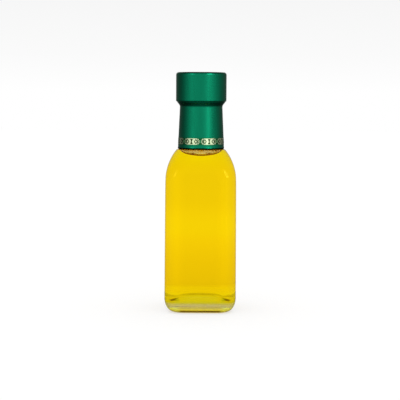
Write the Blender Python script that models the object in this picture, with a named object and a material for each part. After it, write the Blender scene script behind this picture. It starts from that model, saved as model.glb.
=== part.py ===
"""Square oil bottle: clear glass with curved shoulders, filled with oil, under a green capsule.

The bottle stands on the origin with its axis along +Z and its flat sides facing X and Y.
Sizes are in metres.
"""

import math

import bmesh
import bpy

# Whole bottle
TOTAL_HEIGHT = 0.1800
GAP = 0.0003

# Outer glass: half widths are measured from the axis to a flat side
BASE_HALF = 0.02680
SHOULDER_HALF = 0.02635
CORNER_RADIUS = 0.0100
HEEL_WIDTH = 0.0075
HEEL_HEIGHT = 0.0110
HEEL_CORNER_LOSS = 0.0025
SHOULDER_Z = 0.1000
SHOULDER_RADIUS = 0.0340
LEDGE_Z = 0.1219
LEDGE_DROP = 0.0001
NECK_ROOT_RADIUS = 0.0159
NECK_TOP_RADIUS = 0.0146
NECK_TOP_Z = 0.1700

# Inner glass
WALL = 0.0026
INNER_HEEL_RADIUS = 0.0030
INNER_NECK_ROOT_RADIUS = 0.0126
INNER_NECK_TOP_RADIUS = 0.0114

# Floor of the hollow: a low dome that rises from a groove next to the sides
FLOOR_GROOVE_Z = 0.0055
FLOOR_DOME_RISE = 0.0070
FLOOR_DOME_POWER = 4
FLOOR_SQUARENESS = 0.60
FLOOR_STEPS = 5

# Punt: the shallow hollow under the base
PUNT_HALF = 0.0150
PUNT_DEPTH = 0.0045
PUNT_SQUARENESS = 0.30
PUNT_STEPS = 5

# Oil
OIL_LEVEL_Z = 0.1175

# Capsule: a wide top over a narrow skirt that widens a little towards its rim
CAP_RADIUS = 0.01905
CAP_EDGE_RADIUS = 0.0020
CAP_UNDERSIDE_Z = 0.1580
CAP_SLOPE_DROP = 0.0030
SKIRT_TOP_Z = 0.1535
SKIRT_TOP_RADIUS = 0.0161
RIM_Z = 0.1223
RIM_RADIUS = 0.0175
SKIRT_THICKNESS = 0.0011

# Gold band, let into a groove round the skirt
BAND_BOTTOM_Z = 0.1257
BAND_TOP_Z = 0.1312
BAND_THICKNESS = 0.0004

# Fineness of the curves
PLAN_STEPS = 56
TURNED_STEPS = 56
HEEL_STEPS = 6
SHOULDER_STEPS = 9
SHARP_ANGLE = math.radians(42)


def clear_scene():
    for item in list(bpy.data.objects):
        bpy.data.objects.remove(item, do_unlink=True)


def make_material(name, colour, roughness, metallic=0.0, transmission=0.0, ior=1.5):
    material = bpy.data.materials.new(name)
    material.use_nodes = True
    shader = material.node_tree.nodes["Principled BSDF"]
    shader.inputs["Base Color"].default_value = (*colour, 1.0)
    shader.inputs["Roughness"].default_value = roughness
    shader.inputs["Metallic"].default_value = metallic
    shader.inputs["Transmission Weight"].default_value = transmission
    shader.inputs["IOR"].default_value = ior
    material.diffuse_color = (*colour, 1.0)
    return material


def plan_reach(angle, half, corner):
    """Distance from the axis to a rounded square, in the direction of the angle."""
    along = abs(math.cos(angle))
    across = abs(math.sin(angle))
    long_side, short_side = max(along, across), min(along, across)
    centre = half - corner
    flat_reach = half / long_side
    if flat_reach * short_side <= centre:
        return flat_reach
    towards = centre * (along + across)
    return towards + math.sqrt(max(towards**2 - 2 * centre**2 + corner**2, 0.0))


def plan_ring(level):
    z, half, corner = level
    points = []
    for step in range(PLAN_STEPS):
        angle = math.tau * step / PLAN_STEPS
        reach = plan_reach(angle, half, corner)
        points.append((reach * math.cos(angle), reach * math.sin(angle), z))
    return points


def loft(name, levels):
    """A closed solid through rounded squares, given from the bottom up as (z, half, corner)."""
    mesh = bmesh.new()
    rings = [[mesh.verts.new(point) for point in plan_ring(level)] for level in levels]
    for lower, upper in zip(rings, rings[1:]):
        for step in range(PLAN_STEPS):
            after = (step + 1) % PLAN_STEPS
            mesh.faces.new((lower[step], lower[after], upper[after], upper[step]))
    mesh.faces.new(list(reversed(rings[0])))
    mesh.faces.new(rings[-1])
    return place_mesh(name, mesh)


def place_mesh(name, mesh):
    bmesh.ops.recalc_face_normals(mesh, faces=mesh.faces)
    data = bpy.data.meshes.new(name)
    mesh.to_mesh(data)
    mesh.free()
    item = bpy.data.objects.new(name, data)
    bpy.context.scene.collection.objects.link(item)
    return item


def turned(name, profile):
    """A solid of revolution. The profile runs down its outer side and back up its inner side."""
    mesh = bmesh.new()
    corners = [mesh.verts.new((radius, 0.0, z)) for radius, z in profile]
    for first, second in zip(corners, corners[1:]):
        mesh.edges.new((first, second))
    if profile[0][0] > 0:
        mesh.edges.new((corners[-1], corners[0]))
    data = bpy.data.meshes.new(name)
    mesh.to_mesh(data)
    mesh.free()
    item = bpy.data.objects.new(name, data)
    bpy.context.scene.collection.objects.link(item)
    screw = item.modifiers.new("Turn", "SCREW")
    screw.axis = "Z"
    screw.steps = TURNED_STEPS
    screw.render_steps = TURNED_STEPS
    screw.use_merge_vertices = True
    screw.merge_threshold = 0.00001
    return item


def cut(item, cutter):
    cutter.hide_render = True
    cutter.display_type = "WIRE"
    boolean = item.modifiers.new("Cut " + cutter.name, "BOOLEAN")
    boolean.operation = "DIFFERENCE"
    boolean.solver = "EXACT"
    boolean.object = cutter


def finish(item, material):
    item.data.materials.append(material)
    item.data.shade_smooth()
    item.data.set_sharp_from_angle(angle=SHARP_ANGLE)
    return item


def heel_levels(floor, half, corner, width, height, corner_loss):
    """Levels of a quarter of an ellipse from the floor up to the side."""
    levels = []
    for step in range(HEEL_STEPS + 1):
        angle = math.pi / 2 * step / HEEL_STEPS
        inset = 1 - math.sin(angle)
        rise = height * (1 - math.cos(angle))
        levels.append((floor + rise, half - width * inset, corner - corner_loss * inset))
    return levels


def shoulder_levels(radius, top_half, corner, stop_z=None):
    """Levels of the arc from the side to the neck, or to a stop below it, as the plan turns round."""
    centre = SHOULDER_HALF - SHOULDER_RADIUS
    span = math.acos((top_half - centre) / radius)
    reach = 1.0 if stop_z is None else math.asin((stop_z - SHOULDER_Z) / radius) / span
    levels = []
    for step in range(1, SHOULDER_STEPS + 1):
        share = reach * step / SHOULDER_STEPS
        half = centre + radius * math.cos(span * share)
        z = SHOULDER_Z + radius * math.sin(span * share)
        rounding = share * share * (3 - 2 * share)
        levels.append((z, half, corner + (top_half - corner) * rounding))
    return levels


def ledge_half():
    centre = SHOULDER_HALF - SHOULDER_RADIUS
    return centre + math.sqrt(SHOULDER_RADIUS**2 - (LEDGE_Z - SHOULDER_Z) ** 2)


def punt_levels():
    """Levels of the hollow under the base, from its middle down to the flat rim."""
    levels = []
    for step in range(1, PUNT_STEPS + 1):
        share = step / PUNT_STEPS
        height = PUNT_DEPTH * math.cos(math.pi / 2 * share)
        half = PUNT_HALF * share
        levels.append((height, half, half * (1 - PUNT_SQUARENESS * share)))
    return levels


def outer_levels():
    levels = punt_levels()
    levels += heel_levels(0.0, BASE_HALF, CORNER_RADIUS, HEEL_WIDTH, HEEL_HEIGHT, HEEL_CORNER_LOSS)
    levels.append((SHOULDER_Z, SHOULDER_HALF, CORNER_RADIUS))
    levels += shoulder_levels(SHOULDER_RADIUS, ledge_half(), CORNER_RADIUS)
    levels.append((LEDGE_Z + LEDGE_DROP, NECK_ROOT_RADIUS, NECK_ROOT_RADIUS))
    levels.append((NECK_TOP_Z, NECK_TOP_RADIUS, NECK_TOP_RADIUS))
    return levels


def floor_levels(inset, rim_half):
    """Levels of the dome of the floor, from its middle down to the groove round it."""
    levels = []
    for step in range(1, FLOOR_STEPS):
        share = step / FLOOR_STEPS
        rise = FLOOR_DOME_RISE * (1 - share**FLOOR_DOME_POWER)
        half = rim_half * share
        corner = half * (1 - FLOOR_SQUARENESS * share)
        levels.append((FLOOR_GROOVE_Z + inset + rise, half, corner))
    return levels


def inner_levels(inset, stop_z=None):
    """Levels of the space inside the glass, made smaller all round by the inset."""
    depth = WALL + inset
    corner = CORNER_RADIUS - depth
    low_half = BASE_HALF - depth
    neck = INNER_NECK_ROOT_RADIUS - inset
    floor = FLOOR_GROOVE_Z + inset
    heel = heel_levels(floor, low_half, corner, INNER_HEEL_RADIUS, INNER_HEEL_RADIUS, 0.0)
    rim_half = heel[0][1]
    levels = floor_levels(inset, rim_half) + heel
    levels.append((SHOULDER_Z, SHOULDER_HALF - depth, corner))
    levels += shoulder_levels(SHOULDER_RADIUS - depth, neck, corner, stop_z)
    return levels


def build_bottle():
    glass = make_material("clear_glass", (0.93, 0.96, 0.92), 0.02, transmission=1.0)
    bottle = loft("bottle", outer_levels())
    hollow_top = NECK_TOP_Z + WALL
    hollow = inner_levels(0.0)
    hollow.append((hollow_top, INNER_NECK_TOP_RADIUS, INNER_NECK_TOP_RADIUS))
    cut(bottle, loft("bottle_hollow", hollow))
    return finish(bottle, glass)


def build_oil():
    yellow_oil = make_material("yellow_oil", (0.87, 0.59, 0.01), 0.05, transmission=0.6, ior=1.47)
    return finish(loft("oil", inner_levels(GAP, OIL_LEVEL_Z)), yellow_oil)


def skirt_radius(z):
    share = (SKIRT_TOP_Z - z) / (SKIRT_TOP_Z - RIM_Z)
    return SKIRT_TOP_RADIUS + (RIM_RADIUS - SKIRT_TOP_RADIUS) * share


def build_capsule():
    green = make_material("green_capsule", (0.0024, 0.156, 0.085), 0.30)
    recess_top_radius = NECK_TOP_RADIUS + GAP
    recess_rim_radius = RIM_RADIUS - SKIRT_THICKNESS
    groove_top = BAND_TOP_Z + GAP / 2
    groove_bottom = BAND_BOTTOM_Z - GAP / 2
    groove_depth = BAND_THICKNESS + GAP
    profile = [(0.0, TOTAL_HEIGHT)]
    edge_centre = CAP_RADIUS - CAP_EDGE_RADIUS
    for step in range(4):
        angle = math.pi / 2 * step / 3
        radius = edge_centre + CAP_EDGE_RADIUS * math.sin(angle)
        profile.append((radius, TOTAL_HEIGHT - CAP_EDGE_RADIUS * (1 - math.cos(angle))))
    profile += [
        (CAP_RADIUS, CAP_UNDERSIDE_Z),
        (SKIRT_TOP_RADIUS + 0.0006, CAP_UNDERSIDE_Z - CAP_SLOPE_DROP),
        (SKIRT_TOP_RADIUS, SKIRT_TOP_Z),
        (skirt_radius(groove_top), groove_top),
        (skirt_radius(groove_top) - groove_depth, groove_top),
        (skirt_radius(groove_bottom) - groove_depth, groove_bottom),
        (skirt_radius(groove_bottom), groove_bottom),
        (RIM_RADIUS, RIM_Z),
        (recess_rim_radius, RIM_Z),
        (recess_top_radius, NECK_TOP_Z + GAP),
        (0.0, NECK_TOP_Z + GAP),
    ]
    return finish(turned("capsule", profile), green)


def build_gold_band():
    gold = make_material("gold_foil", (0.83, 0.66, 0.28), 0.25, metallic=1.0)
    profile = [
        (skirt_radius(BAND_TOP_Z), BAND_TOP_Z),
        (skirt_radius(BAND_BOTTOM_Z), BAND_BOTTOM_Z),
        (skirt_radius(BAND_BOTTOM_Z) - BAND_THICKNESS, BAND_BOTTOM_Z),
        (skirt_radius(BAND_TOP_Z) - BAND_THICKNESS, BAND_TOP_Z),
    ]
    return finish(turned("gold_band", profile), gold)


def main():
    clear_scene()
    stand = bpy.data.objects.new("square_oil_bottle", None)
    bpy.context.scene.collection.objects.link(stand)
    for piece in (build_bottle(), build_oil(), build_capsule(), build_gold_band()):
        piece.parent = stand


main()
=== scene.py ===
"""Square oil bottle: clear glass full of yellow oil, under a green capsule with a gold band.

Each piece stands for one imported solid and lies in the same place. Lengths are in millimetres
until a mesh is made, and +Z is up along the axis of the bottle.
"""

from __future__ import annotations

import logging
import math
from collections.abc import Sequence
from dataclasses import dataclass
from enum import Enum, IntEnum

import bmesh
import bpy
import numpy as np
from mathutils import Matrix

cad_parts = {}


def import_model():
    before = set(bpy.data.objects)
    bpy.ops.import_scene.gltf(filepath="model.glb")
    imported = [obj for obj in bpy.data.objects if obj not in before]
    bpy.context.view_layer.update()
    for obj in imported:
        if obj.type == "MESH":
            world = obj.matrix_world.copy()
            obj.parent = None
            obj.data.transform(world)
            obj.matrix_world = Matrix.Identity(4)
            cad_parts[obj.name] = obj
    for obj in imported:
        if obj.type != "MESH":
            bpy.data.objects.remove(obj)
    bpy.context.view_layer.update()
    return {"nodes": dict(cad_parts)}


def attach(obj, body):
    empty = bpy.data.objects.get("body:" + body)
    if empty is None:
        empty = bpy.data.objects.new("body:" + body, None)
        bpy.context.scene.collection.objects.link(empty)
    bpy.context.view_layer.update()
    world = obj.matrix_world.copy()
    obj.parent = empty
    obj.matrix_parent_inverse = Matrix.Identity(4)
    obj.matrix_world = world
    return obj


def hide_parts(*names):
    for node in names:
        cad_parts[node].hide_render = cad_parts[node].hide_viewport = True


LOG = logging.getLogger("square_oil_bottle")
MM = 0.001
FRAME_WIDTH_PX = 400
SENSOR_MM = 36.0
GLASS_IOR = 1.52
OIL_IOR = 1.478
WARM_SHEEN = (1.0, 0.8, 0.05)
MERGE_DISTANCE = 1e-7
CORNER_SPAN = (30, 60)
LIGHT_BOUNCES = 32
GLOSSY_BOUNCES = 8

Socket = bpy.types.NodeSocket
Colour = tuple[float, float, float]
Stops = Sequence[tuple[float, "Colour | float"]]


class GlassFace(IntEnum):
    """Material places on the glass, by what lies against the face."""

    CLEAR = 0
    AGAINST_OIL = 1
    DRY = 2


class FilmFace(IntEnum):
    """Material places on the capsule."""

    OUTSIDE = 0
    # Nearly black film painted as shade along the lowest strip of the hem and inside.
    HEM_SHADE = 1


class Motif(Enum):
    """Shapes of the ornament on the band, each repeated round it."""

    MEDALLION = "medallion"
    DIAMOND = "diamond"
    HOURGLASS = "hourglass"


class NodeSheet:
    """Short ways to add nodes to one node tree and to join them."""

    def __init__(self, tree: bpy.types.NodeTree) -> None:
        """Keeps the tree."""
        self.tree = tree

    def add(self, kind: str) -> bpy.types.Node:
        """Adds a node of a kind, named without its ShaderNode start."""
        return self.tree.nodes.new("ShaderNode" + kind)

    def feed(self, source: object, target: Socket) -> None:
        """Joins a socket to an input, or writes a plain value into it."""
        if isinstance(source, Socket):
            self.tree.links.new(source, target)
        else:
            target.default_value = source

    def maths(self, operation: str, *values: object) -> Socket:
        """A Math node.

        Args:
            operation: Blender's name of the sum.
            values: Numbers or sockets, in the order of the inputs.

        Returns:
            The result's socket.
        """
        node = self.add("Math")
        node.operation = operation
        for socket, value in zip(node.inputs, values):
            self.feed(value, socket)
        return node.outputs[0]

    def axes(self) -> Sequence[Socket]:
        """The X, Y and Z sockets of the object's own coordinates, in metres."""
        split = self.add("SeparateXYZ")
        self.feed(self.place(), split.inputs[0])
        return split.outputs

    def place(self, kind: str = "Object") -> Socket:
        """The texture coordinates of a kind."""
        return self.add("TexCoord").outputs[kind]

    def along_face(self, reach: float) -> Socket:
        """Distance along a flat side from its middle, as a share of a reach in millimetres."""
        x, y, _ = self.axes()
        nearer = self.maths("MINIMUM", self.maths("ABSOLUTE", x), self.maths("ABSOLUTE", y))
        return self.maths("MULTIPLY", nearer, 1 / (reach * MM))

    def rise(self, reach: float) -> Socket:
        """Height over the base, as a share of a reach in millimetres."""
        return self.maths("MULTIPLY", self.axes()["Z"], 1 / (reach * MM))

    def stretched(self, scale: Colour) -> Socket:
        """Object coordinates multiplied by one scale for each axis."""
        node = self.add("VectorMath")
        node.operation = "MULTIPLY"
        self.feed(self.place(), node.inputs[0])
        node.inputs[1].default_value = scale
        return node.outputs[0]

    def ramp(self, factor: Socket, stops: Stops) -> Socket:
        """A colour ramp.

        Args:
            factor: Where on the ramp, from 0 to 1.
            stops: Places with a colour or a grey each, in rising order.

        Returns:
            The colour's socket.
        """
        node = self.add("ValToRGB")
        elements = node.color_ramp.elements
        while len(elements) < len(stops):
            elements.new(1.0)
        for element, (position, colour) in zip(elements, stops):
            element.position = position
            shade = colour if isinstance(colour, tuple) else (colour,) * 3
            element.color = (*shade, 1.0)
        self.feed(factor, node.inputs["Fac"])
        return node.outputs["Color"]

    def noise(self, vector: Socket, scale: float, detail: float = 2.0) -> Socket:
        """Noise between 0 and 1, at a scale in repeats a metre."""
        node = self.add("TexNoise")
        self.feed(vector, node.inputs["Vector"])
        node.inputs["Scale"].default_value = scale
        node.inputs["Detail"].default_value = detail
        return node.outputs["Fac"]

    def mix(self, factor: object, low: object, high: object, blend: str = "MIX") -> Socket:
        """Mixes two colours.

        Args:
            factor: Share of the second colour, a number or a socket.
            low: The first colour.
            high: The second colour.
            blend: Blender's name of the way to mix.

        Returns:
            The mixed colour's socket.
        """
        node = self.add("Mix")
        node.data_type = "RGBA"
        node.blend_type = blend
        self.feed(factor, node.inputs["Factor"])
        for name, colour in (("A", low), ("B", high)):
            self.feed((*colour, 1.0) if isinstance(colour, tuple) else colour, node.inputs[name])
        return node.outputs["Result"]

    def bump(self, height: Socket, depth: float) -> Socket:
        """A bump of a depth in metres from a height between 0 and 1."""
        node = self.add("Bump")
        node.inputs["Strength"].default_value = 1.0
        node.inputs["Distance"].default_value = depth
        self.feed(height, node.inputs["Height"])
        return node.outputs["Normal"]


def new_material(
    name: str, settings: dict[str, object]
) -> tuple[bpy.types.Material, NodeSheet, bpy.types.Node]:
    """A fresh material.

    Args:
        name: The material's name.
        settings: Plain values for the shader, by the names of its inputs.

    Returns:
        The material, its node sheet and its Principled shader.
    """
    material = bpy.data.materials.new(name)
    material.use_nodes = True
    tree = material.node_tree
    shader = tree.nodes["Principled BSDF"]
    for title, value in settings.items():
        shader.inputs[title].default_value = value
    return material, NodeSheet(tree), shader


def clear_settings(ior: float, sheen: Colour) -> dict[str, object]:
    """Shader settings that bare glass and glass with a film of oil share."""
    return {"IOR": ior, "Transmission Weight": 1.0, "Specular Tint": (*sheen, 1)}


@dataclass(frozen=True)
class ClearGlass:
    """Moulded glass, tinted at the heel, with painted shade mixed into the tint.

    The tint, with painted shade low down near the table, and the clearness follow height over heel_reach.
    Along the middle of each side the contact tint, with a painted dark line of shade where glass meets the
    table, takes its place. Reaches are in millimetres.
    """

    name: str
    ior: float
    heel_tint_and_shade: Stops = ()
    heel_reach: float = 13.0
    contact_tint_and_shade: Stops = ()
    contact_shade_reach: float = 26.0
    clearness: Stops = ()
    sheen: Colour = WARM_SHEEN
    ripple_depth: float = 0.00002
    ripple_scale: float = 55.0
    ripple_stretch: float = 0.25

    def make(self) -> bpy.types.Material:
        """The material: the tint and its painted shade follow height over the heel, and slow ripples bend
        the surface.
        """
        plain = {"Base Color": (1, 1, 1, 1), "Roughness": 0.0}
        settings = clear_settings(self.ior, self.sheen) | plain
        material, sheet, shader = new_material(self.name, settings)
        # Painted shade: the tint darkens near the table, and along the middle of each side the contact tint
        # paints a dark line where glass meets the table.
        if self.heel_tint_and_shade:
            tint = sheet.ramp(sheet.rise(self.heel_reach), self.heel_tint_and_shade)
            if self.contact_tint_and_shade:
                share = sheet.ramp(sheet.along_face(self.contact_shade_reach), CONTACT_SHADE_SHARE)
                tint = sheet.mix(share, tint, sheet.ramp(sheet.rise(self.heel_reach), self.contact_tint_and_shade))
            sheet.feed(tint, shader.inputs["Base Color"])
        if self.clearness:
            clear = sheet.ramp(sheet.rise(self.heel_reach), self.clearness)
            sheet.feed(clear, shader.inputs["Transmission Weight"])
        ripples = sheet.noise(sheet.stretched((1.0, 1.0, self.ripple_stretch)), self.ripple_scale)
        sheet.feed(sheet.bump(ripples, self.ripple_depth), shader.inputs["Normal"])
        return material


@dataclass(frozen=True)
class OiledGlass:
    """Inside face of the glass over the oil, with the film of oil that clings there.

    Its IOR is below that of bare glass, which keeps the film amber where it shows.
    """

    name: str
    level: float
    climb: float
    climb_power: float
    film: Stops
    veil: Stops
    film_reach: float = 2.0
    ior: float = 1.35
    sheen: Colour = WARM_SHEEN

    def make(self) -> bpy.types.Material:
        """The material: its tint, partly painted shade just over the oil's edge, follows height over the
        curved line where the oil ends.
        """
        material, sheet, shader = new_material(self.name, clear_settings(self.ior, self.sheen))
        x, _, z = sheet.axes()
        sideways = sheet.maths("MULTIPLY", sheet.maths("ABSOLUTE", x), 1 / MM)
        climb = sheet.maths("POWER", sideways, self.climb_power)
        line = sheet.maths("MULTIPLY_ADD", climb, self.climb, self.level)
        height = sheet.maths("MULTIPLY", z, 1 / MM)
        over = sheet.maths("MULTIPLY", sheet.maths("SUBTRACT", height, line), 1 / self.film_reach)
        # Painted shade and light: nearly black brown just over the oil's edge, amber and pale higher up,
        # over the tint of the clinging oil.
        sheet.feed(sheet.ramp(over, self.film), shader.inputs["Base Color"])
        sheet.feed(sheet.ramp(over, self.veil), shader.inputs["Roughness"])
        return material


@dataclass(frozen=True)
class OilFinish:
    """Clear yellow oil: it takes out blue at once and green slowly, with depth."""

    name: str
    tint: Colour = (0.9973, 0.982, 0.0)
    density: float = 400.0
    height: float = 120.0
    painted_shade: Stops = ()
    painted_bands: Stops = ()
    painted_band_reach: float = 26.0

    def make(self) -> bpy.types.Material:
        """The material: absorption inside, and painted light and shade on its faces, by height and across
        each side.
        """
        settings = {"IOR": 1.0, "Transmission Weight": 1.0, "Roughness": 0.0}
        material, sheet, shader = new_material(self.name, settings)
        # Painted light and shade: the oil's faces are lighter and darker by height, where the oil itself is
        # even.
        shade = sheet.ramp(sheet.rise(self.height), self.painted_shade)
        # Painted light: lighter bands along each side near its corners.
        across = sheet.ramp(sheet.along_face(self.painted_band_reach), self.painted_bands)
        sheet.feed(sheet.mix(1.0, shade, across, "MULTIPLY"), shader.inputs["Base Color"])
        inside = sheet.add("VolumeAbsorption")
        inside.inputs["Color"].default_value = (*self.tint, 1)
        inside.inputs["Density"].default_value = self.density
        sheet.feed(inside.outputs["Volume"], sheet.tree.nodes["Material Output"].inputs["Volume"])
        return material


@dataclass(frozen=True)
class FilmFinish:
    """Metallic shrunk film: streaks and fine creases, a little patchy in its gloss."""

    name: str
    colour: Colour
    roughness: float
    patch: float = 0.18
    streak_scale: float = 320.0
    streak_stretch: float = 0.12
    gloss_range: float = 0.10
    crease_scale: float = 140.0
    crease_stretch: float = 0.4
    crease_depth: float = 0.00003

    def make(self) -> bpy.types.Material:
        """The material: upright streaks vary colour and gloss, and creases bend the surface."""
        material, sheet, shader = new_material(self.name, {"Metallic": 1.0})
        upright = sheet.stretched((1.0, 1.0, self.streak_stretch))
        streaks = sheet.noise(upright, self.streak_scale, detail=3.0)
        low = tuple(value * (1 - self.patch) for value in self.colour)
        high = tuple(value * (1 + self.patch) for value in self.colour)
        sheet.feed(sheet.mix(streaks, low, high), shader.inputs["Base Color"])
        smoothest = self.roughness - self.gloss_range / 2
        gloss = sheet.maths("MULTIPLY_ADD", streaks, self.gloss_range, smoothest)
        sheet.feed(gloss, shader.inputs["Roughness"])
        folded = sheet.stretched((1.0, 1.0, self.crease_stretch))
        creases = sheet.noise(folded, self.crease_scale, detail=4.0)
        sheet.feed(sheet.bump(creases, self.crease_depth), shader.inputs["Normal"])
        return material


@dataclass(frozen=True)
class FoilFinish:
    """Printed gold: bright, with fine grain and worn paler spots."""

    name: str
    colour: Colour
    worn: Colour
    roughness: float = 0.16
    wear_scale: float = 900.0
    wear_range: float = 0.12
    grain_scale: float = 2500.0
    grain_depth: float = 0.00001

    def make(self) -> bpy.types.Material:
        """The material: noise mixes the gold with its worn shade and roughens it."""
        material, sheet, shader = new_material(self.name, {"Metallic": 1.0})
        wear = sheet.noise(sheet.place(), self.wear_scale, detail=3.0)
        sheet.feed(sheet.mix(wear, self.colour, self.worn), shader.inputs["Base Color"])
        smoothest = self.roughness - self.wear_range / 2
        gloss = sheet.maths("MULTIPLY_ADD", wear, self.wear_range, smoothest)
        sheet.feed(gloss, shader.inputs["Roughness"])
        grain = sheet.noise(sheet.place(), self.grain_scale)
        sheet.feed(sheet.bump(grain, self.grain_depth), shader.inputs["Normal"])
        return material


def link_new(name: str, data: bpy.types.ID) -> bpy.types.Object:
    """A new object for a mesh, a camera or a lamp, linked to the scene."""
    item = bpy.data.objects.new(name, data)
    bpy.context.scene.collection.objects.link(item)
    return item


def sheet_of_points(x: np.ndarray, y: np.ndarray, z: np.ndarray) -> np.ndarray:
    """Stacks three arrays of millimetres, spread to one shape, into points in metres."""
    return np.stack(np.broadcast_arrays(x, y, z), axis=-1) * MM


def loft_mesh(
    name: str,
    stacks: np.ndarray,
    slots: np.ndarray | None = None,
    looped: bool = False,
    sheet: bool = False,
    sharp_degrees: float = 40.0,
) -> bpy.types.Object:
    """A mesh through stacks of rings: quads join each ring to the next, and points that meet are merged.

    A ring that has shrunk to one point becomes a pole, so a stack with a pole at each end is closed.

    Args:
        name: The object's name.
        stacks: Points in metres, as (copies, rings, points of a ring, 3).
        slots: The material place of the faces above each ring.
        looped: True to join the last ring to the first.
        sheet: True for a single open surface, which keeps the direction of its faces.
        sharp_degrees: Edges that turn by more than this stay sharp.

    Returns:
        The object, linked to the scene.
    """
    copies, rings, count = stacks.shape[:3]
    index = np.arange(rings * count).reshape(rings, count)
    after = np.roll(index, -1, axis=1)
    quads = np.stack([index, after, np.roll(after, -1, axis=0), np.roll(index, -1, axis=0)], axis=-1)
    used = rings if looped else rings - 1
    quads = quads[:used].reshape(-1, 4)
    offsets = np.arange(copies)[:, None, None] * rings * count
    faces = (quads[None] + offsets).reshape(-1, 4)
    data = bpy.data.meshes.new(name)
    data.from_pydata(stacks.reshape(-1, 3).tolist(), [], faces.tolist())
    if slots is not None:
        places = np.tile(np.repeat(slots[:used], count), copies).astype(np.int32)
        data.polygons.foreach_set("material_index", places)
    work = bmesh.new()
    work.from_mesh(data)
    bmesh.ops.remove_doubles(work, verts=work.verts, dist=MERGE_DISTANCE)
    if not sheet:
        bmesh.ops.recalc_face_normals(work, faces=work.faces)
    work.to_mesh(data)
    work.free()
    data.polygons.foreach_set("use_smooth", np.ones(len(data.polygons), bool))
    data.set_sharp_from_angle(angle=math.radians(sharp_degrees))
    data.update()
    return link_new(name, data)


def place_piece(item: bpy.types.Object, node: str, finishes: Sequence[object]) -> None:
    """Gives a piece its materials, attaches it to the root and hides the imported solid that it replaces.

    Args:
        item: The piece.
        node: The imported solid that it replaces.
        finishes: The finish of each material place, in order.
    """
    for finish in finishes:
        item.data.materials.append(finish.make())
    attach(item, "root")
    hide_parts(node)


def plan_angles(per_flat: int = 8, per_corner: int = 36) -> np.ndarray:
    """Directions round the axis, closer together where the square plan has its corners."""
    stops = np.radians([0, *CORNER_SPAN, 90])
    counts = (per_flat, per_corner, per_flat)
    parts = [np.linspace(a, b, n, endpoint=False) for a, b, n in zip(stops, stops[1:], counts)]
    quarters = np.radians([0, 90, 180, 270])[:, None]
    return (np.concatenate(parts)[None, :] + quarters).ravel()


def plan_reach(angles: np.ndarray, half: np.ndarray, corner: np.ndarray) -> np.ndarray:
    """Distance from the axis to a rounded square.

    On a flat it is half over the larger of cosine and sine. On a corner it is the far root of the
    distance from the corner's centre being the corner's radius.

    Args:
        angles: Directions round the axis.
        half: Half widths, one for each ring, or for each ring and direction.
        corner: Radii of the corners, shaped like half.

    Returns:
        The distances, as (rings, directions).
    """
    half = half.reshape(len(half), -1)
    corner = corner.reshape(len(corner), -1)
    along = np.maximum(np.abs(np.cos(angles)), np.abs(np.sin(angles)))[None, :]
    across = np.minimum(np.abs(np.cos(angles)), np.abs(np.sin(angles)))[None, :]
    centre = half - corner
    flat = half / along
    towards = centre * (along + across)
    rounded = towards + np.sqrt(np.maximum(towards**2 - 2 * centre**2 + corner**2, 0))
    return np.where(flat * across <= centre, flat, rounded)


def plan_rings(angles: np.ndarray, z: np.ndarray, half: np.ndarray, corner: np.ndarray) -> np.ndarray:
    """Rings of points round the axis, in metres, as (1, rings, directions, 3)."""
    reach = plan_reach(angles, half, corner)
    return sheet_of_points(reach * np.cos(angles), reach * np.sin(angles), z.reshape(len(z), -1))[None]


def ease(share: np.ndarray) -> np.ndarray:
    """A smooth step from 0 to 1: three squares less two cubes."""
    share = np.clip(share, 0, 1)
    return share * share * (3 - 2 * share)


def blend(low: float, high: float, share: np.ndarray) -> np.ndarray:
    """Goes evenly from low to high as the share goes from 0 to 1."""
    return low + (high - low) * share


def shares_after_start(count: int) -> np.ndarray:
    """Even shares up to 1 without the 0, where the stretch before ended."""
    return np.linspace(0, 1, count)[1:]


def spread(rows: Sequence[np.ndarray], angles: np.ndarray) -> list[np.ndarray]:
    """Repeats rows of stations over all directions."""
    return [np.repeat(row[:, None], len(angles), axis=1) for row in rows]


@dataclass(frozen=True)
class BottleSize:
    """Sizes of the glass and the oil. Half widths are measured from the axis to a flat side."""

    base_half: float = 26.80
    shoulder_half: float = 26.35
    lean_power: float = 0.5
    lean_limit: float = 1.2
    corner: float = 10.0
    heel: float = 7.5
    heel_height: float = 11.0
    heel_corner_loss: float = 2.5
    shoulder_z: float = 100.0
    shoulder_radius: float = 34.0
    ledge_z: float = 121.9
    ledge_drop: float = 0.4
    neck_root: float = 15.9
    neck_top: float = 14.6
    neck_top_z: float = 170.0
    wall: float = 2.6
    floor_z: float = 5.5
    floor_dome: float = 7.0
    floor_square: float = 0.6
    floor_power: float = 3.5
    floor_fall: float = 0.65
    inner_heel: float = 3.0
    inner_neck_root: float = 12.6
    inner_neck_top: float = 11.4
    punt_half: float = 15.0
    punt_depth: float = 4.5
    punt_square: float = 0.3
    oil_level: float = 117.45
    oil_into_wall: float = 0.05
    oil_climb: float = 0.0100
    oil_climb_power: float = 2.0
    oil_dish_power: float = 6.0
    climb_from: float = 14.0
    climb_until: float = 24.0
    surface_drop: float = 0.02


@dataclass(frozen=True)
class GlassCounts:
    """Number of stations along each stretch of the section."""

    punt: int = 24
    rim: int = 6
    heel: int = 36
    side: int = 60
    outer_shoulder: int = 70
    ledge: int = 8
    neck: int = 24
    floor: int = 40
    groove: int = 28
    inner_shoulder: int = 90
    bore: int = 20
    oil_top: int = 30


class Path:
    """A section of the bottle: heights, half widths and corner radii, from one end to the other."""

    def __init__(self) -> None:
        """Starts with no stations."""
        self.parts: list[np.ndarray] = []

    def add(self, z: object, half: object, corner: object) -> None:
        """Adds stations; single numbers are spread over the rest."""
        self.parts.append(np.stack(np.broadcast_arrays(np.atleast_1d(z), half, corner)).astype(float))

    def top(self) -> float:
        """Height of the last station."""
        return self.parts[-1][0, -1]

    def stations(self) -> np.ndarray:
        """All stations, as the three rows z, half and corner."""
        return np.concatenate(self.parts, axis=1)


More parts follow.
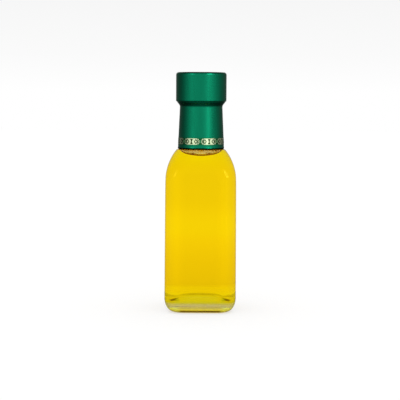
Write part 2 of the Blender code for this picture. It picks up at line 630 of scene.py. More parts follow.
class GlassSection:
    """The section of the glass, outside and inside."""

    def __init__(self, size: BottleSize) -> None:
        """Keeps the sizes and finds the centre of the shoulder's arc."""
        self.size = size
        self.count = GlassCounts()
        self.arc_centre = size.shoulder_half - size.shoulder_radius

    def side(self, z: np.ndarray, depth: float) -> np.ndarray:
        """Half width between heel and shoulder, at a depth in the wall: the sides lean in upwards."""
        s = self.size
        share = np.clip((s.shoulder_z - z) / (s.shoulder_z - s.heel_height), 0, s.lean_limit)
        return blend(s.shoulder_half, s.base_half, share**s.lean_power) - depth

    def shoulder(self, depth: float, top_half: float, steps: int) -> tuple[np.ndarray, ...]:
        """The shoulder's arc.

        Args:
            depth: Depth in the wall.
            top_half: Half width where the arc ends.
            steps: Number of stations, with the first, which is left out.

        Returns:
            Heights, half widths and corner radii, as the plan turns from square to round.
        """
        s = self.size
        radius = s.shoulder_radius - depth
        span = math.acos((top_half - self.arc_centre) / radius)
        share = shares_after_start(steps)
        z = s.shoulder_z + radius * np.sin(span * share)
        half = self.arc_centre + radius * np.cos(span * share)
        return z, half, blend(s.corner - depth, top_half, ease(share))

    def outer(self) -> np.ndarray:
        """Stations from the middle of the punt, over the heel, side and shoulder, to the neck's lip."""
        s, count = self.size, self.count
        path = Path()
        share = np.linspace(0, 1, count.punt)
        half = s.punt_half * share
        path.add(s.punt_depth * np.cos(share * math.pi / 2), half, half * (1 - s.punt_square * share))
        rim_corner = s.corner - s.heel_corner_loss
        punt_corner = s.punt_half * (1 - s.punt_square)
        share = np.linspace(0, 1, count.rim)[1:-1]
        rim = blend(s.punt_half, s.base_half - s.heel, share)
        path.add(0 * share, rim, blend(punt_corner, rim_corner, share))
        turn = np.linspace(0, math.pi / 2, count.heel)
        inset = 1 - np.sin(turn)
        heel_rise = s.heel_height * (1 - np.cos(turn))
        path.add(heel_rise, s.base_half - s.heel * inset, s.corner - s.heel_corner_loss * inset)
        z = np.linspace(s.heel_height, s.shoulder_z, count.side)[1:]
        path.add(z, self.side(z, 0), s.corner)
        top = self.arc_centre + math.sqrt(s.shoulder_radius**2 - (s.ledge_z - s.shoulder_z) ** 2)
        path.add(*self.shoulder(0, top, count.outer_shoulder))
        share = shares_after_start(count.ledge)
        ledge = blend(top, s.neck_root, share)
        path.add(s.ledge_z + s.ledge_drop * share**2, ledge, ledge)
        share = shares_after_start(count.neck)
        neck = blend(s.neck_root, s.neck_top, share)
        path.add(blend(path.top(), s.neck_top_z, share), neck, neck)
        return path.stations()

    def floor(self, extra: float) -> np.ndarray:
        """Stations of the floor's dome from its middle to the groove round it.

        Over its rim the dome stands at its full height times one less a power of the distance, the
        whole raised to floor_fall, so it is flat on top and steep at the groove.

        Args:
            extra: Millimetres into the wall.

        Returns:
            The rows z, half and corner.
        """
        s = self.size
        rim = float(self.side(np.array(s.heel_height), s.wall - extra)) - s.inner_heel
        share = np.linspace(0, 1, self.count.floor)[:-1]
        dome = s.floor_dome * (1 - share**s.floor_power) ** s.floor_fall
        path = Path()
        path.add(s.floor_z + dome - extra, rim * share, rim * share * (1 - s.floor_square * share))
        return path.stations()

    def wall_inside(self, extra: float) -> np.ndarray:
        """Stations of the inside from the groove in the floor up to the lip, heights always rising."""
        s, count = self.size, self.count
        path = Path()
        depth = s.wall - extra
        low = float(self.side(np.array(s.heel_height), depth))
        corner = s.corner - depth
        turn = np.linspace(0, math.pi / 2, count.groove)
        inset = 1 - np.sin(turn)
        loss = corner - (1 - s.floor_square) * (low - s.inner_heel)
        z = s.floor_z - extra + s.inner_heel * (1 - np.cos(turn))
        path.add(z, low - s.inner_heel * inset, corner - loss * inset)
        z = np.linspace(s.floor_z + s.inner_heel - extra, s.shoulder_z, count.side)[1:]
        path.add(z, self.side(z, depth), corner)
        neck = s.inner_neck_root + extra
        path.add(*self.shoulder(depth, neck, count.inner_shoulder))
        share = shares_after_start(count.bore)
        bore = blend(neck, s.inner_neck_top + extra, share)
        path.add(blend(path.top(), s.neck_top_z, share), bore, bore)
        return path.stations()

    def oil_rise(self, angles: np.ndarray) -> np.ndarray:
        """How far the oil's edge climbs the wall: a power of the distance sideways from the middle."""
        s = self.size
        z, half, corner = self.wall_inside(0.0)
        at_level = [np.array([np.interp(s.oil_level, z, row)]) for row in (half, corner)]
        sideways = np.abs(np.cos(angles)) * plan_reach(angles, *at_level)[0]
        return s.oil_climb * sideways**s.oil_climb_power

    def inside(self, angles: np.ndarray, extra: float, wet_only: bool) -> tuple[np.ndarray, ...]:
        """The inside, with one ring along the curved edge of the oil.

        Ring heights near the oil's level are lifted by its climb, and widths are looked up at the
        lifted heights, so the wall keeps its form while the ring follows the edge.

        Args:
            angles: Directions round the axis.
            extra: Millimetres into the wall.
            wet_only: True to stop at the edge of the oil.

        Returns:
            Heights, half widths and corners, as (rings, directions), and the number of the edge's ring.
        """
        s = self.size
        rows = self.wall_inside(extra)
        heights = np.sort(np.append(rows[0], s.oil_level))
        below = np.clip((heights - (s.oil_level - s.climb_from)) / s.climb_from, 0, 1)
        above = np.clip(((s.oil_level + s.climb_until) - heights) / s.climb_until, 0, 1)
        lift = ease(np.minimum(below, above))[:, None] * self.oil_rise(angles)[None, :]
        z = heights[:, None] + lift
        half = np.interp(z, rows[0], rows[1])
        corner = np.interp(z, rows[0], rows[2])
        edge = int(np.searchsorted(heights, s.oil_level))
        if wet_only:
            z, half, corner = z[: edge + 1], half[: edge + 1], corner[: edge + 1]
        dome = spread(self.floor(extra), angles)
        joined = [np.concatenate([low, high]) for low, high in zip(dome, (z, half, corner))]
        return (*joined, edge + dome[0].shape[0])


# What the glass lets through, by height as a share of the heel's reach: a grey-green tint with painted
# shade, darkest low down near the table, going yellow higher up.
HEEL_TINT_AND_SHADE: Stops = (
    (0.0, (0.72, 0.69, 0.60)), (0.10, (0.46, 0.44, 0.36)), (0.22, (0.50, 0.49, 0.42)),
    (0.40, (0.76, 0.77, 0.72)), (0.62, (0.78, 0.79, 0.68)), (0.70, (0.82, 0.84, 0.18)),
    (0.84, (0.93, 0.94, 0.08)), (0.92, (0.99, 0.99, 0.10)), (1.0, (1.0, 1.0, 1.0)),
)
# The same along the middle of each side, with a painted dark line of shade where glass meets the table.
CONTACT_TINT_AND_SHADE: Stops = (
    (0.0, (0.45, 0.32, 0.20)), (0.10, (0.10, 0.05, 0.0)), (0.13, (0.02, 0.004, 0.0)),
    (0.17, (0.03, 0.008, 0.0)), (0.22, (0.76, 0.51, 0.27)), (0.36, (0.68, 0.56, 0.27)),
    (0.46, (0.83, 0.81, 0.60)), (0.58, (0.77, 0.79, 0.66)), (0.64, (0.69, 0.72, 0.20)),
    (0.70, (0.86, 0.90, 0.03)), (0.80, (0.99, 1.0, 0.01)), (0.93, (1.0, 1.0, 0.05)),
    (1.0, (1.0, 1.0, 1.0)),
)
# How much of the heel is clear and not milky, by the same height.
CLEARNESS: Stops = ((0.0, 0.92), (0.14, 0.88), (0.30, 0.84), (0.55, 0.84), (0.68, 1.0))
# How far the middle, with its painted contact shade, goes, as a share of contact_shade_reach.
CONTACT_SHADE_SHARE: Stops = ((0.55, 1.0), (0.70, 0.0))
# The groove round the floor, by height as a share of the heel's reach: painted shade, darker and yellower
# at the groove.
FLOOR_EDGE_SHADE: Stops = ((0.55, (0.86, 0.82, 0.45)), (0.64, (1.0, 1.0, 1.0)))
# The film over the oil, by height over its curved edge: what it lets through, and its roughness. What it
# lets through is partly the tint of the clinging oil and partly painted shade and light: nearly black brown
# just over the edge, then amber, then pale higher up.
OIL_FILM_AND_SHADE: Stops = (
    (0.36, (0.11, 0.014, 0.0)), (0.46, (0.52, 0.15, 0.0)), (0.57, (0.96, 0.48, 0.0)),
    (0.68, (1.0, 0.78, 0.01)), (0.80, (1.0, 0.96, 0.30)),
)
OIL_VEIL: Stops = ((0.0, 0.05), (1.0, 0.22))
# Painted light and shade of the oil, lighter and darker by height, as a share of the height that its finish
# names.
PAINTED_OIL_SHADE: Stops = (
    (0.0, (1.0, 0.99, 0.9)), (0.118, (1.0, 0.98, 0.9)), (0.140, (0.86, 0.745, 0.9)),
    (0.19, (0.895, 0.77, 0.9)), (0.32, (0.94, 0.81, 0.9)), (0.44, (0.99, 0.875, 1.0)),
    (0.50, (1.0, 0.92, 1.0)), (0.57, (1.0, 0.92, 1.0)), (0.63, (0.98, 0.885, 1.0)),
    (0.69, (0.95, 0.85, 1.0)), (0.87, (0.935, 0.84, 1.0)), (0.92, (0.96, 0.90, 1.0)),
    (0.975, (1.0, 1.0, 1.0)),
)
# Painted light and shade of the oil along a side, from its middle to its corner: lighter bands near the
# corners.
PAINTED_OIL_BANDS: Stops = (
    (0.42, (0.965, 0.96, 1.0)), (0.56, (0.98, 0.975, 1.0)), (0.65, (1.0, 1.0, 1.0)),
    (0.76, (1.0, 1.0, 1.0)), (0.84, (0.975, 0.97, 1.0)),
)


class GlassBottle:
    """The glass: one closed shell from the punt over the outside to the lip and down the inside."""

    def __init__(self, size: BottleSize) -> None:
        """Keeps the sizes."""
        self.size = size
        self.section = GlassSection(size)

    def build(self) -> bpy.types.Object:
        """Lofts the shell, and marks its faces by what lies against them."""
        s = self.size
        angles = plan_angles()
        out = spread(self.section.outer(), angles)
        z, half, corner, edge = self.section.inside(angles, 0.0, wet_only=False)
        wet = np.where(np.arange(len(z)) < edge, GlassFace.AGAINST_OIL, GlassFace.DRY)
        rows = [np.concatenate([a, b[::-1]]) for a, b in zip(out, (z, half, corner))]
        slots = np.concatenate([np.full(len(out[0]), GlassFace.CLEAR), wet[::-1][1:], wet[:1]])
        self.item = loft_mesh("bottle_glass", plan_rings(angles, *rows), slots)
        return self.item

    def dress(self) -> None:
        """Clear outside; inside, the bend of light is that between glass and oil, or glass and air."""
        s = self.size
        finishes = (
            ClearGlass("clear_glass", GLASS_IOR, heel_tint_and_shade=HEEL_TINT_AND_SHADE, contact_tint_and_shade=CONTACT_TINT_AND_SHADE, clearness=CLEARNESS),
            ClearGlass("glass_against_oil", GLASS_IOR / OIL_IOR, heel_tint_and_shade=FLOOR_EDGE_SHADE),
            OiledGlass("glass_over_oil", s.oil_level, s.oil_climb, s.oil_climb_power, OIL_FILM_AND_SHADE, OIL_VEIL),
        )
        place_piece(self.item, "bottle", finishes)


class OilFill:
    """The oil: it fills the glass up to its level and reaches just into the wall."""

    def __init__(self, size: BottleSize) -> None:
        """Keeps the sizes."""
        self.size = size
        self.section = GlassSection(size)

    def top_rings(self, angles: np.ndarray, drop: float) -> tuple[np.ndarray, ...]:
        """The upper surface from its edge to the axis.

        The height over the level is the edge's climb times a high power of the share of the way out.

        Args:
            angles: Directions round the axis.
            drop: Millimetres to lower it by.

        Returns:
            Heights, half widths and corners, as (rings, directions).
        """
        s = self.size
        z, half, corner, _ = self.section.inside(angles, s.oil_into_wall, wet_only=True)
        share = np.linspace(1, 0, self.section.count.oil_top)[:, None]
        climb = (z[-1] - s.oil_level)[None, :] * share**s.oil_dish_power
        return s.oil_level - drop + climb, half[-1] * share, corner[-1] * share

    def build(self) -> bpy.types.Object:
        """Lofts the closed body of oil."""
        angles = plan_angles()
        body = self.section.inside(angles, self.size.oil_into_wall, wet_only=True)[:3]
        rows = [np.concatenate([a, b[1:]]) for a, b in zip(body, self.top_rings(angles, 0.0))]
        self.item = loft_mesh("oil_fill", plan_rings(angles, *rows))
        return self.item

    def dress(self) -> None:
        """Gives the oil its depth of colour."""
        finish = OilFinish("yellow_oil", painted_shade=PAINTED_OIL_SHADE, painted_bands=PAINTED_OIL_BANDS)
        place_piece(self.item, "oil", (finish,))


class OilSurface(OilFill):
    """The skin of the oil at its level, where light bends between oil and air."""

    def build(self) -> bpy.types.Object:
        """Lofts one open sheet just under the top of the oil, facing up."""
        angles = plan_angles()
        rows = self.top_rings(angles, self.size.surface_drop)
        self.item = loft_mesh("oil_surface", plan_rings(angles, *rows), sheet=True)
        return self.item

    def dress(self) -> None:
        """Gives the skin the bend of light of oil."""
        place_piece(self.item, "oil", (ClearGlass("oil_top", OIL_IOR),))


@dataclass(frozen=True)
class CapsuleSize:
    """Sizes of the capsule and of the band round its skirt."""

    top_z: float = 180.0
    top_sink: float = 0.25
    sink_from: float = 11.0
    sink_width: float = 4.0
    cap_radius: float = 19.05
    cap_edge: float = 2.0
    cap_underside: float = 158.0
    cap_lip: float = 0.8
    slope_reach: float = 1.15
    slope_power: float = 1.2
    skirt_top_z: float = 153.5
    skirt_top: float = 16.1
    rim_z: float = 122.3
    rim: float = 17.5
    hem: float = 1.45
    hem_bulge: float = 0.12
    hem_tuck: float = 0.35
    hem_tuck_power: int = 4
    thickness: float = 1.1
    inside_top_z: float = 170.3
    inside_top: float = 14.9
    band_low: float = 125.7
    band_high: float = 131.2
    band_thickness: float = 0.4
    band_proud: float = 0.03


@dataclass(frozen=True)
class CapsuleCounts:
    """Number of stations along each stretch of the section, and of points round a ring."""

    top: int = 24
    top_edge: int = 16
    cap_side: int = 40
    lip: int = 10
    slope: int = 24
    skirt: int = 80
    hem: int = 14
    # Rings at the foot of the hem painted nearly black as shade.
    hem_shade: int = 12
    band: int = 12
    ring: int = 256


def turned_rings(radius: np.ndarray, z: np.ndarray, count: int) -> np.ndarray:
    """Rings of a turned piece from its radii and heights, in metres, as (1, rings, count, 3)."""
    angles = np.linspace(0, math.tau, count, endpoint=False)
    x = radius[:, None] * np.cos(angles)
    y = radius[:, None] * np.sin(angles)
    return sheet_of_points(x, y, z[:, None])[None]


class Capsule:
    """The film over cap and neck: a wide top, a slope, and a skirt that widens towards its hem."""

    def __init__(self, size: CapsuleSize) -> None:
        """Keeps the sizes."""
        self.size = size
        self.count = CapsuleCounts()

    def skirt(self, z: np.ndarray) -> np.ndarray:
        """Radius of the skirt at a height: a straight cone."""
        s = self.size
        return blend(s.skirt_top, s.rim, (s.skirt_top_z - z) / (s.skirt_top_z - s.rim_z))

    def outside(self) -> tuple[np.ndarray, np.ndarray]:
        """Radii and heights from the middle of the top to the lower end of the skirt."""
        s, count = self.size, self.count
        flat = np.linspace(0, s.cap_radius - s.cap_edge, count.top)[:-1]
        sink = s.top_sink * (1 - ease((flat - s.sink_from) / s.sink_width))
        turn = np.linspace(0, math.pi / 2, count.top_edge)
        side = np.linspace(s.top_z - s.cap_edge, s.cap_underside + s.cap_lip, count.cap_side)[1:]
        lip = np.linspace(0, math.pi / 2, count.lip)[1:]
        share = shares_after_start(count.slope)
        slope = blend(s.cap_radius - s.cap_lip, s.skirt_top, ease(share * s.slope_reach))
        skirt = np.linspace(s.skirt_top_z, s.rim_z + s.hem, count.skirt)[1:]
        hem = shares_after_start(count.hem)
        hem_z = s.rim_z + s.hem * (1 - hem)
        radius = [
            flat,
            s.cap_radius - s.cap_edge * (1 - np.sin(turn)),
            np.full(len(side), s.cap_radius),
            s.cap_radius - s.cap_lip * (1 - np.cos(lip)),
            slope,
            self.skirt(skirt),
            self.skirt(hem_z) + s.hem_bulge * np.sin(math.pi * hem) - s.hem_tuck * hem**s.hem_tuck_power,
        ]
        z = [
            s.top_z - sink,
            s.top_z - s.cap_edge * (1 - np.cos(turn)),
            side,
            s.cap_underside + s.cap_lip * (1 - np.sin(lip)),
            blend(s.cap_underside, s.skirt_top_z, share**s.slope_power),
            skirt,
            hem_z,
        ]
        return np.concatenate(radius), np.concatenate(z)

    def build(self) -> bpy.types.Object:
        """Turns the outside and the plain inside round the axis, as one closed shell."""
        s = self.size
        radius, z = self.outside()
        edge = len(radius)
        radius = np.concatenate([radius, [s.rim - s.thickness, s.inside_top, 0.0]])
        z = np.concatenate([z, [s.rim_z, s.inside_top_z, s.inside_top_z]])
        slots = np.full(len(radius), FilmFace.OUTSIDE)
        # Painted shade: the lowest strip of the hem and the inside get the nearly black film.
        slots[edge - self.count.hem_shade :] = FilmFace.HEM_SHADE
        self.item = loft_mesh("capsule_film", turned_rings(radius, z, self.count.ring), slots)
        return self.item

    def dress(self) -> None:
        """Metallic green outside; nearly black along the lowest strip of the hem and inside, as painted
        shade.
        """
        finishes = (
            FilmFinish("green_film", (0.004, 0.215, 0.108), roughness=0.28),
            FilmFinish("film_hem_shade", (0.0006, 0.010, 0.004), roughness=0.50),
        )
        place_piece(self.item, "capsule", finishes)


class GoldBand:
    """The gold ground of the ornament: a thin ring that lies flush in the skirt."""

    def __init__(self, capsule: Capsule) -> None:
        """Keeps the capsule, whose skirt carries the band."""
        self.capsule = capsule

    def build(self) -> bpy.types.Object:
        """Turns a thin section, a hair proud of the skirt."""
        s, count = self.capsule.size, self.capsule.count
        z = np.linspace(s.band_high, s.band_low, count.band)
        out = self.capsule.skirt(z) + s.band_proud
        radius = np.concatenate([out, (out - s.band_thickness)[::-1]])
        heights = np.concatenate([z, z[::-1]])
        self.item = loft_mesh("gold_band_foil", turned_rings(radius, heights, count.ring), looped=True)
        return self.item

    def dress(self) -> None:
        """Gives the band its bright gold."""
        finish = FoilFinish("gold_foil", (0.70, 0.86, 0.50), worn=(0.80, 0.92, 0.62))
        place_piece(self.item, "gold_band", (finish,))


@dataclass(frozen=True)
class OrnamentSize:
    """Sizes of the ornament round the band, and its rhythm."""

    places: int = 32
    medallion_every: int = 4
    start_degrees: float = -1.8
    outline: float = 0.55
    diamond_half_width: float = 1.45
    diamond_half_height: float = 2.0
    hourglass_half_width: float = 1.15
    hourglass_half_height: float = 1.9
    hourglass_waist: float = 0.36
    waist_half_height: float = 0.35
    medallion_radius: float = 1.9
    centre_outer: float = 1.05
    centre_inner: float = 0.75
    field_half_width: float = 2.5
    border: float = 0.45
    border_overlap: float = 0.05
    border_lift: float = 0.05
    lift: float = 0.06
    field_lift: float = 0.03
    root: float = -0.1
    edge_steps: int = 6
    circle_steps: int = 40


class Ornament:
    """Raised print on the band: diamonds and hourglasses between medallions on green fields."""

    def __init__(self, capsule: Capsule, size: OrnamentSize) -> None:
        """Keeps the capsule and the sizes."""
        self.capsule = capsule
        self.size = size
        self.middle_z = (capsule.size.band_low + capsule.size.band_high) / 2

    def azimuths(self, motif: Motif) -> np.ndarray:
        """Where a motif stands, in radians: a medallion at each fourth place, the others by turns."""
        s = self.size
        number = np.arange(s.places)
        within = number % s.medallion_every
        wanted = {
            Motif.MEDALLION: within == 0,
            Motif.DIAMOND: within % 2 == 1,
            Motif.HOURGLASS: (within % 2 == 0) & (within > 0),
        }[motif]
        return math.radians(s.start_degrees) + math.tau * number[wanted] / s.places

    def polygon(self, corners: Sequence[tuple[float, float]]) -> np.ndarray:
        """A closed outline through corners, with points added along each straight edge."""
        points = np.array(corners, float)
        share = np.linspace(0, 1, self.size.edge_steps, endpoint=False)[None, :, None]
        following = np.roll(points, -1, axis=0)
        return (points[:, None] * (1 - share) + following[:, None] * share).reshape(-1, 2)

    def circle(self, radius: float) -> np.ndarray:
        """A circle as an outline."""
        turn = np.linspace(0, math.tau, self.size.circle_steps, endpoint=False)
        return np.stack([radius * np.cos(turn), radius * np.sin(turn)], axis=-1)

    def on_band(
        self, outlines: Sequence[np.ndarray], lifts: Sequence[float], azimuths: np.ndarray
    ) -> np.ndarray:
        """Lays outlines on the band: across becomes an arc round the axis, up stays up.

        Args:
            outlines: Outlines in the flat, as (points, 2), all with the same number of points.
            lifts: How far each outline stands over the band.
            azimuths: Where the copies stand, measured from -Y towards +X.

        Returns:
            Points in metres, as (copies, outlines, points, 3).
        """
        flat = np.stack(outlines)
        z = self.middle_z + flat[..., 1]
        skirt = self.capsule.skirt(z)
        radius = skirt + self.capsule.size.band_proud + np.array(lifts)[:, None]
        angle = azimuths[:, None, None] + (flat[..., 0] / skirt)[None]
        return sheet_of_points(radius * np.sin(angle), -radius * np.cos(angle), z[None])

    def plate(self, outline: np.ndarray, lift: float, azimuths: np.ndarray) -> np.ndarray:
        """A filled raised shape: a pole under it, its lower and upper edge, and a pole on top."""
        point = outline * 0.0
        root = self.size.root
        return self.on_band((point, outline, outline, point), (root, root, lift, lift), azimuths)

    def frame(self, outer: np.ndarray, inner: np.ndarray, lift: float, azimuths: np.ndarray) -> np.ndarray:
        """A raised outline shape, looped round its section."""
        root = self.size.root
        return self.on_band((outer, outer, inner, inner), (root, lift, lift, root), azimuths)

    def build(self) -> list[bpy.types.Object]:
        """Makes fields, borders, outlines and hourglasses, and the medallions' rings and centres."""
        s = self.size
        height = (self.capsule.size.band_high - self.capsule.size.band_low) / 2
        w, h, t = s.diamond_half_width, s.diamond_half_height, s.outline
        inner = (w - t * math.hypot(w, h) / h, h - t * math.hypot(w, h) / w)
        outlines = [self.polygon([(a, 0), (0, b), (-a, 0), (0, -b)]) for a, b in ((w, h), inner)]
        diamonds = self.frame(*outlines, s.lift, self.azimuths(Motif.DIAMOND))
        w, h = s.hourglass_half_width, s.hourglass_half_height
        waist, rise = s.hourglass_waist, s.waist_half_height
        right = [(w, h), (waist, rise), (waist, -rise), (w, -h)]
        left = [(-x, -z) for x, z in right]
        hourglasses = self.plate(self.polygon(right + left), s.lift, self.azimuths(Motif.HOURGLASS))
        medallions = self.azimuths(Motif.MEDALLION)
        w = s.field_half_width
        field = self.polygon([(w, height), (-w, height), (-w, -height), (w, -height)])
        fields = self.plate(field, s.field_lift, medallions)
        spans = ((s.medallion_radius, s.medallion_radius - s.outline), (s.centre_outer, s.centre_inner))
        rings, centres = (self.frame(self.circle(a), self.circle(b), s.lift, medallions) for a, b in spans)
        self.grounds = [loft_mesh("ornament_fields", fields, sharp_degrees=60), self.build_borders()]
        self.lines = [
            loft_mesh("ornament_diamonds", diamonds, looped=True),
            loft_mesh("ornament_hourglasses", hourglasses),
            loft_mesh("ornament_rings", rings, looped=True),
        ]
        self.centres = [loft_mesh("ornament_centres", centres, looped=True)]
        return [*self.grounds, *self.lines, *self.centres]

    def build_borders(self) -> bpy.types.Object:
        """Turns a green line along the upper and the lower edge of the band, as one mesh of two rings."""
        c, s = self.capsule.size, self.size
        spans = (
            (c.band_low - s.border_overlap, c.band_low + s.border),
            (c.band_high - s.border, c.band_high + s.border_overlap),
        )
        lifts = np.array([s.root, s.border_lift, s.border_lift, s.root])
        stacks = []
        for low, high in spans:
            z = np.array([low, low, high, high])
            stacks.append(turned_rings(self.capsule.skirt(z) + lifts, z, self.capsule.count.ring)[0])
        return loft_mesh("ornament_borders", np.stack(stacks), looped=True)

    def dress(self) -> None:
        """Green fields and borders, dark olive lines and light green centres."""
        field_green = FilmFinish("ornament_green", (0.010, 0.165, 0.060), roughness=0.30)
        dark_olive = FilmFinish("ornament_dark", (0.020, 0.060, 0.012), roughness=0.40)
        light_green = FilmFinish("ornament_light_green", (0.060, 0.330, 0.110), roughness=0.30)
        dressed = ((self.grounds, field_green), (self.lines, dark_olive), (self.centres, light_green))
        for items, finish in dressed:
            for item in items:
                place_piece(item, "gold_band", (finish,))


@dataclass(frozen=True)
class StudioSize:
    """Camera, lamp and floor. The camera's place comes from the photograph's own perspective."""

    distance: float = 0.880
    height: float = 0.1652
    pitch: float = 5.317
    roll: float = -0.35
    focal_px: float = 1160.55
    side_shift: float = -0.00098
    clip_start: float = 0.01
    lamp_azimuth: float = 33.0
    lamp_distance: float = 1.5
    lamp_height: float = 0.45
    lamp_width: float = 0.42
    lamp_tall: float = 1.2
    lamp_power: float = 0.5
    lamp_tilt: float = 80.0
    floor_half: float = 4.0
    floor_glow: float = 0.72
    floor_grey: Colour = (0.3, 0.3, 0.3)
    floor_roughness: float = 0.9
    pool_radius: float = 0.030
    pool_power: float = 5.0
    box_strength: float = 5.0


# Painted light on the table, from under the middle of the bottle outwards: a yellow pool under it, then a
# faint painted shadow ring near its edge.
POOL: Stops = (
    (0.0, (1.12, 1.08, 0.15)), (0.58, (1.10, 1.05, 0.25)), (0.66, (1.0, 0.94, 0.60)),
    (0.74, (0.92, 0.88, 0.80)), (0.84, (1.0, 1.0, 1.0)),
)
# Brightness of what the bottle mirrors, by degrees from the front towards +X.
RING = (
    (-180, 0.50), (-170, 0.48), (-158, 0.16), (-125, 0.14), (-112, 0.15), (-101, 0.20), (-88, 0.30),
    (-77, 0.52), (-65, 0.70), (-55, 0.85), (-42, 1.0), (-15, 0.95), (0, 0.95), (15, 0.98), (50, 1.0),
    (57, 0.93), (68, 0.70), (80, 0.57), (92, 0.42), (105, 0.30), (121, 0.20), (145, 0.14), (158, 0.16),
    (170, 0.48), (180, 0.50),
)
# The same by height: 0 is straight down, 0.5 is level and 1 is straight up.
SKY: Stops = (
    (0.0, 0.18), (0.30, 0.24), (0.44, 0.80), (0.47, 0.95), (0.54, 0.97), (0.66, 1.0), (0.90, 0.35),
)
# Two boxes of light that draw the highlights on the shoulder: by degrees, and by height.
BOX_RING = (
    (-58, 0.0), (-50, 0.5), (-40, 0.5), (-34, 0.0), (28, 0.0), (36, 1.0), (48, 1.0), (56, 0.0),
)
BOX_RISE: Stops = ((0.58, 0.0), (0.62, 1.0), (0.76, 1.0), (0.82, 0.0))
# What the camera sees past the floor, and what passes through the glass, by height.
BACKDROP: Stops = ((0.5, 1.0), (0.515, 0.96), (0.55, 0.91))
FIELD_RISE: Stops = ((0.0, 1.0), (0.5, 1.0), (0.6, 0.98), (0.8, 0.85), (1.0, 0.7))


def round_stops(stops: Sequence[tuple[float, float]]) -> Stops:
    """Turns stops in degrees from the front into shares of a full turn."""
    return tuple((degrees / 360 + 0.5, value) for degrees, value in stops)


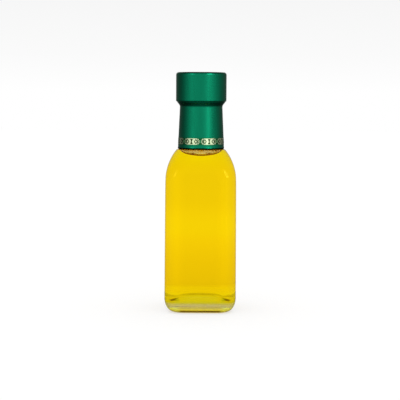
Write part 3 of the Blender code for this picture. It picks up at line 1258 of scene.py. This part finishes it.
class Studio:
    """The floor, the backdrop, the soft light and the camera."""

    def __init__(self, size: StudioSize) -> None:
        """Keeps the sizes."""
        self.size = size

    def build(self) -> None:
        """Makes everything round the bottle."""
        self.build_camera()
        self.build_floor()
        self.build_world()
        self.build_lamp()

    def build_camera(self) -> None:
        """Sets the camera where the photograph was taken from."""
        s = self.size
        data = bpy.data.cameras.new("camera")
        data.sensor_width = SENSOR_MM
        data.lens = s.focal_px * SENSOR_MM / FRAME_WIDTH_PX
        data.clip_start = s.clip_start
        camera = link_new("camera", data)
        camera.location = (s.side_shift, -s.distance, s.height)
        camera.rotation_euler = (math.radians(90 - s.pitch), math.radians(s.roll), 0)
        bpy.context.scene.camera = camera

    def build_floor(self) -> None:
        """A wide pale floor, tinted where the bottle stands as if by light through the oil.

        The tint follows a rounded square: the root of the sum of the same power of both axes.
        """
        s = self.size
        half = s.floor_half
        mesh = bpy.data.meshes.new("floor")
        corners = [(-half, -half, 0), (half, -half, 0), (half, half, 0), (-half, half, 0)]
        mesh.from_pydata(corners, [], [(0, 1, 2, 3)])
        floor = link_new("floor", mesh)
        settings = {
            "Base Color": (*s.floor_grey, 1),
            "Roughness": s.floor_roughness,
            "Specular IOR Level": 0.0,
            "Emission Strength": s.floor_glow,
        }
        material, sheet, shader = new_material("pale_floor", settings)
        x, y, _ = sheet.axes()
        outward = 1 / s.pool_radius
        shares = [sheet.maths("MULTIPLY", sheet.maths("ABSOLUTE", axis), outward) for axis in (x, y)]
        powers = [sheet.maths("POWER", share, s.pool_power) for share in shares]
        reach = sheet.maths("POWER", sheet.maths("ADD", *powers), 1 / s.pool_power)
        sheet.feed(sheet.ramp(reach, POOL), shader.inputs["Emission Color"])
        mesh.materials.append(material)
        floor.visible_glossy = False

    def build_world(self) -> None:
        """A near white backdrop, an even field behind the glass, and bright and dark sides to reflect."""
        world = bpy.data.worlds.new("studio")
        bpy.context.scene.world = world
        world.use_nodes = True
        sheet = NodeSheet(world.node_tree)
        split = sheet.add("SeparateXYZ")
        sheet.feed(sheet.place("Generated"), split.inputs[0])
        x, y, z = split.outputs
        azimuth = sheet.maths("ARCTAN2", x, sheet.maths("MULTIPLY", y, -1.0))
        turn = sheet.maths("MULTIPLY_ADD", azimuth, 1 / math.tau, 0.5)
        rise = sheet.maths("MULTIPLY_ADD", z, 0.5, 0.5)
        ring = sheet.ramp(turn, round_stops(RING))
        mirrored = sheet.mix(1.0, ring, sheet.ramp(rise, SKY), "MULTIPLY")
        boxes = sheet.ramp(turn, round_stops(BOX_RING))
        boxes = sheet.mix(1.0, boxes, sheet.ramp(rise, BOX_RISE), "MULTIPLY")
        boxes = sheet.mix(1.0, boxes, (self.size.box_strength,) * 3, "MULTIPLY")
        mirrored = sheet.mix(1.0, mirrored, boxes, "ADD")
        through = sheet.ramp(rise, FIELD_RISE)
        path = sheet.add("LightPath")
        seen = sheet.mix(path.outputs["Is Glossy Ray"], (1.0, 1.0, 1.0), mirrored)
        seen = sheet.mix(path.outputs["Is Transmission Ray"], seen, through)
        seen = sheet.mix(path.outputs["Is Camera Ray"], seen, sheet.ramp(rise, BACKDROP))
        background = world.node_tree.nodes["Background"]
        sheet.feed(seen, background.inputs["Color"])
        background.inputs["Strength"].default_value = 1.0

    def build_lamp(self) -> None:
        """One tall soft box on the right, which draws the upright streak on the capsule."""
        s = self.size
        lamp = bpy.data.lights.new("right_soft_box", "AREA")
        lamp.shape = "RECTANGLE"
        lamp.size = s.lamp_width
        lamp.size_y = s.lamp_tall
        lamp.energy = s.lamp_power
        item = link_new("right_soft_box", lamp)
        turn = math.radians(s.lamp_azimuth)
        item.location = (s.lamp_distance * math.sin(turn), -s.lamp_distance * math.cos(turn), s.lamp_height)
        item.rotation_euler = (math.radians(s.lamp_tilt), 0, turn)


def set_view() -> None:
    """Plain colours, and enough bounces for light to pass through glass and oil."""
    scene = bpy.context.scene
    scene.view_settings.view_transform = "Standard"
    scene.cycles.max_bounces = LIGHT_BOUNCES
    scene.cycles.transmission_bounces = LIGHT_BOUNCES
    scene.cycles.glossy_bounces = GLOSSY_BOUNCES


def main() -> None:
    """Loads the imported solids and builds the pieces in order."""
    logging.basicConfig(level=logging.INFO)
    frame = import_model()
    LOG.info("packed nodes: %s", ", ".join(sorted(frame["nodes"])))
    set_view()
    size = BottleSize()
    capsule = Capsule(CapsuleSize())
    pieces = (
        GlassBottle(size),
        OilFill(size),
        OilSurface(size),
        capsule,
        GoldBand(capsule),
        Ornament(capsule, OrnamentSize()),
    )
    for piece in pieces:
        made = piece.build()
        piece.dress()
        for item in made if isinstance(made, list) else [made]:
            LOG.info("%s: %d faces", item.name, len(item.data.polygons))
    Studio(StudioSize()).build()


if __name__ == "__main__":
    main()
